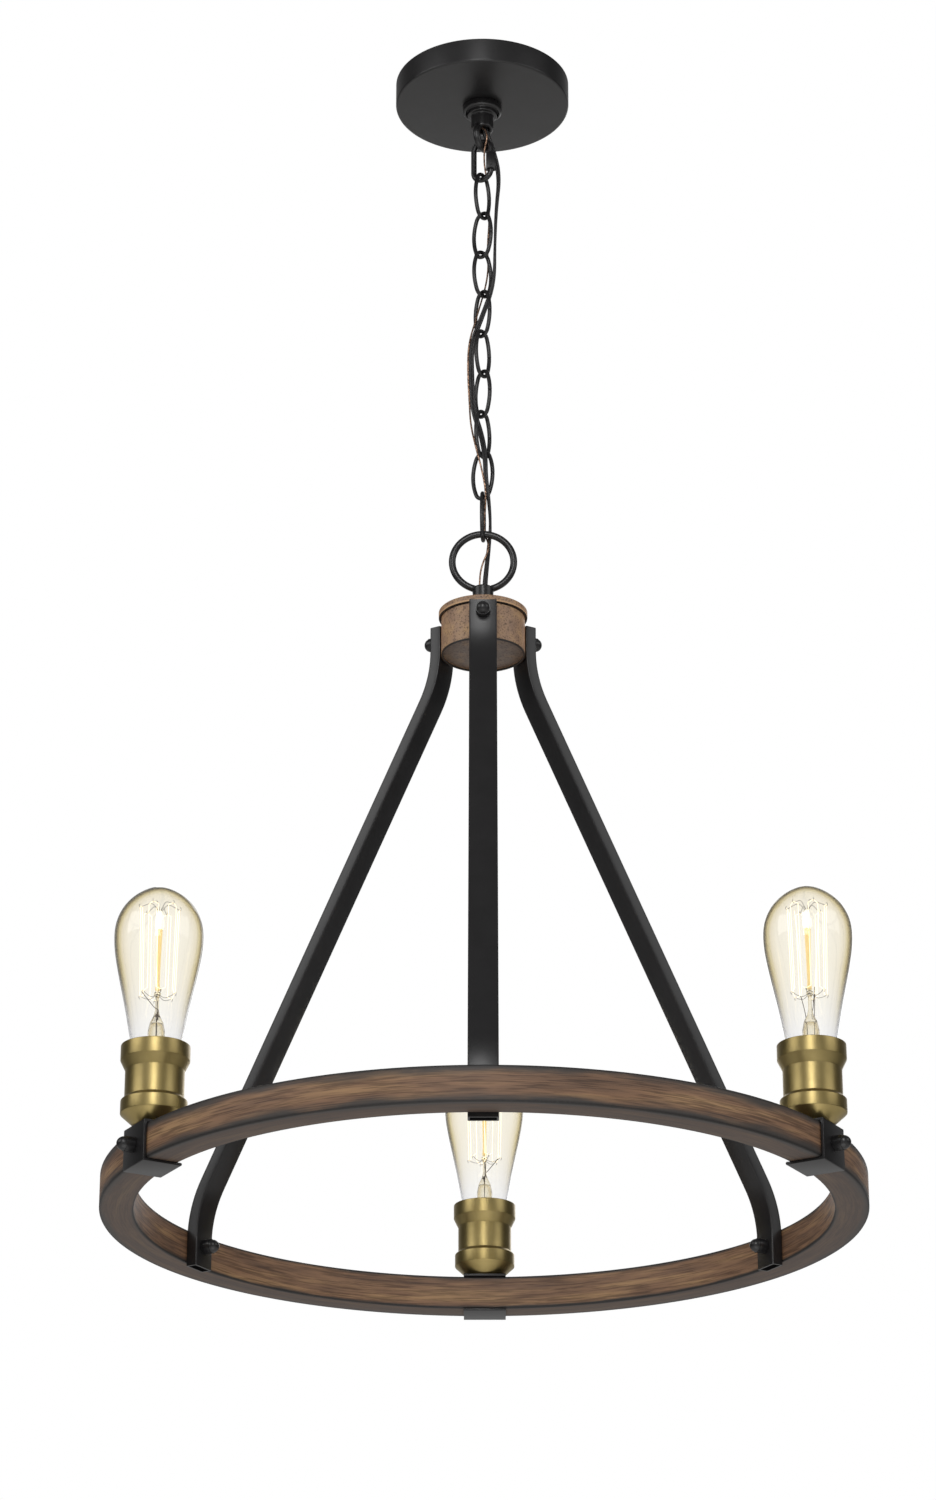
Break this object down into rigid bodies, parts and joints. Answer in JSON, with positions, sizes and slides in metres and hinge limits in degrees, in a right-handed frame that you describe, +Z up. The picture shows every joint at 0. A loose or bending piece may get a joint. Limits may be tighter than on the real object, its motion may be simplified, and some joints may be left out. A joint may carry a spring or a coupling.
{
  "type": "ring chandelier",
  "caption": "Chain hung chandelier: a wooden ring carried by bent flat arms from a drum hub, with bare filament bulbs standing in brass cups on strap brackets.",
  "frame": {"origin": "middle of the two slots in the ceiling crossbar, on the crossbar's upper face, which lies on the ceiling plane", "axes": "+Z up along the hanging axis, +X along the line of the two slots and to the right in the picture, +Y away from the picture's camera"},
  "size_m": [0.5136, 0.5307, 0.8869],
  "materials": {
    "black_steel": "matt black powder coat",
    "zinc_steel": "bright zinc plate",
    "hub_paint": "speckled aged bronze coat",
    "ring_wood": "dark stained wood with burnt edges",
    "antique_brass": "brushed antique brass",
    "cap_brass": "bright pressed brass",
    "phenolic": "black phenolic moulding",
    "cord_sheath": "black two strand sheath",
    "copper_wire": "bare copper",
    "amber_glass": "clear amber tinted glass",
    "filament_mount": "glass rod and carbon filament on steel hooks"
  },
  "bodies": {
    "ceiling_mount": {"ceiling_crossbar": "zinc_steel", "ground_screw": "zinc_steel", "threaded_nipple": "zinc_steel", "lock_nuts": "zinc_steel", "canopy_loop": "black_steel", "supply_cord": "cord_sheath", "ground_wire": "copper_wire"},
    "canopy": {"canopy": "black_steel", "canopy_ring_nut": "black_steel"},
    "quick_link": {"quick_link": "black_steel"},
    "quick_link_sleeve": {"quick_link_sleeve": "black_steel"},
    "link_1": {"chain_link_1": "black_steel"},
    "link_2": {"chain_link_2": "black_steel"},
    "link_3": {"chain_link_3": "black_steel"},
    "link_4": {"chain_link_4": "black_steel"},
    "link_5": {"chain_link_5": "black_steel"},
    "link_6": {"chain_link_6": "black_steel"},
    "link_7": {"chain_link_7": "black_steel"},
    "link_8": {"chain_link_8": "black_steel"},
    "link_9": {"chain_link_9": "black_steel"},
    "fixture": {"hub_loop": "black_steel", "hub_lid": "hub_paint", "hub_body": "hub_paint", "hub_base_plate": "hub_paint", "hub_stem": "zinc_steel", "hub_stem_nuts": "zinc_steel", "arm_1": "black_steel", "arm_2": "black_steel", "arm_3": "black_steel", "hub_bolts": "black_steel", "hub_bolt_nuts": "zinc_steel", "ring": "ring_wood", "arm_foot_bolts": "black_steel", "lamp_bracket_1": "black_steel", "lamp_bracket_2": "black_steel", "lamp_bracket_3": "black_steel", "bracket_bolts": "black_steel", "lampholder_cups": "antique_brass", "lampholder_bodies": "phenolic", "lampholder_shells": "cap_brass", "lampholder_stems": "zinc_steel"},
    "bulb_contact_1": {"bulb_contact_1": "cap_brass"},
    "bulb_1": {"bulb_base_1": "cap_brass", "bulb_glass_1": "amber_glass", "bulb_filament_1": "filament_mount"},
    "bulb_contact_2": {"bulb_contact_2": "cap_brass"},
    "bulb_2": {"bulb_base_2": "cap_brass", "bulb_glass_2": "amber_glass", "bulb_filament_2": "filament_mount"},
    "bulb_contact_3": {"bulb_contact_3": "cap_brass"},
    "bulb_3": {"bulb_base_3": "cap_brass", "bulb_glass_3": "amber_glass", "bulb_filament_3": "filament_mount"}
  },
  "joints": [
    {"name": "canopy_drop", "type": "slide", "parent": "ceiling_mount", "child": "canopy", "axis": [0, 0, -1], "range_m": [0, 0.03]},
    {"name": "quick_link_swing", "type": "hinge", "parent": "ceiling_mount", "child": "quick_link", "pos_m": [0, 0, -0.0545], "axis": [0.4695, 0.8829, 0], "range_deg": [-15, 15], "deforming": ["supply_cord", "ground_wire"]},
    {"name": "sleeve_open", "type": "slide", "parent": "quick_link", "child": "quick_link_sleeve", "axis": [0, 0, 1], "range_m": [0, 0.004]},
    {"name": "link_1_swing", "type": "hinge", "parent": "quick_link", "child": "link_1", "pos_m": [0, 0, -0.0817], "axis": [0.8829, -0.4695, 0], "range_deg": [-10, 10], "deforming": ["supply_cord", "ground_wire"]},
    {"name": "link_2_swing", "type": "hinge", "parent": "link_1", "child": "link_2", "pos_m": [0, 0, -0.11435], "axis": [0.5878, 0.809, 0], "range_deg": [-10, 10], "deforming": ["supply_cord", "ground_wire"]},
    {"name": "link_3_swing", "type": "hinge", "parent": "link_2", "child": "link_3", "pos_m": [0, 0, -0.1476], "axis": [0.7431, -0.6691, 0], "range_deg": [-10, 10], "deforming": ["supply_cord", "ground_wire"]},
    {"name": "link_4_swing", "type": "hinge", "parent": "link_3", "child": "link_4", "pos_m": [0, 0, -0.18085], "axis": [0.7314, 0.682, 0], "range_deg": [-10, 10], "deforming": ["supply_cord", "ground_wire"]},
    {"name": "link_5_swing", "type": "hinge", "parent": "link_4", "child": "link_5", "pos_m": [0, 0, -0.2141], "axis": [0.6157, -0.788, 0], "range_deg": [-10, 10], "deforming": ["supply_cord", "ground_wire"]},
    {"name": "link_6_swing", "type": "hinge", "parent": "link_5", "child": "link_6", "pos_m": [0, 0, -0.24735], "axis": [0.5592, 0.829, 0], "range_deg": [-10, 10], "deforming": ["supply_cord", "ground_wire"]},
    {"name": "link_7_swing", "type": "hinge", "parent": "link_6", "child": "link_7", "pos_m": [0, 0, -0.2806], "axis": [0.6074, -0.7944, 0], "range_deg": [-10, 10], "deforming": ["supply_cord", "ground_wire"]},
    {"name": "link_8_swing", "type": "hinge", "parent": "link_7", "child": "link_8", "pos_m": [0, 0, -0.31385], "axis": [0.5736, 0.8192, 0], "range_deg": [-10, 10], "deforming": ["supply_cord", "ground_wire"]},
    {"name": "link_9_swing", "type": "hinge", "parent": "link_8", "child": "link_9", "pos_m": [0, 0, -0.3471], "axis": [0.829, -0.5592, 0], "range_deg": [-10, 10], "deforming": ["supply_cord", "ground_wire"]},
    {"name": "fixture_swing", "type": "hinge", "parent": "link_9", "child": "fixture", "pos_m": [0, 0, -0.38035], "axis": [0.0872, 0.9962, 0], "range_deg": [-10, 10], "deforming": ["supply_cord", "ground_wire"]},
    {"name": "bulb_1_rise", "type": "slide", "parent": "fixture", "child": "bulb_contact_1", "axis": [0, 0, 1], "range_m": [0, 0.0146]},
    {"name": "bulb_1_turn", "type": "hinge", "parent": "bulb_contact_1", "child": "bulb_1", "pos_m": [0, 0.2455, -0.83], "axis": [0, 0, 1], "range_deg": [0, 1440]},
    {"name": "bulb_2_rise", "type": "slide", "parent": "fixture", "child": "bulb_contact_2", "axis": [0, 0, 1], "range_m": [0, 0.0146]},
    {"name": "bulb_2_turn", "type": "hinge", "parent": "bulb_contact_2", "child": "bulb_2", "pos_m": [-0.21261, -0.12275, -0.83], "axis": [0, 0, 1], "range_deg": [0, 1440]},
    {"name": "bulb_3_rise", "type": "slide", "parent": "fixture", "child": "bulb_contact_3", "axis": [0, 0, 1], "range_m": [0, 0.0146]},
    {"name": "bulb_3_turn", "type": "hinge", "parent": "bulb_contact_3", "child": "bulb_3", "pos_m": [0.21261, -0.12275, -0.83], "axis": [0, 0, 1], "range_deg": [0, 1440]}
  ],
  "couplings": [
    {"joint": "bulb_1_rise", "follows": "bulb_1_turn", "m_per_rad": 0.0005776},
    {"joint": "bulb_2_rise", "follows": "bulb_2_turn", "m_per_rad": 0.0005776},
    {"joint": "bulb_3_rise", "follows": "bulb_3_turn", "m_per_rad": 0.0005776}
  ]
}
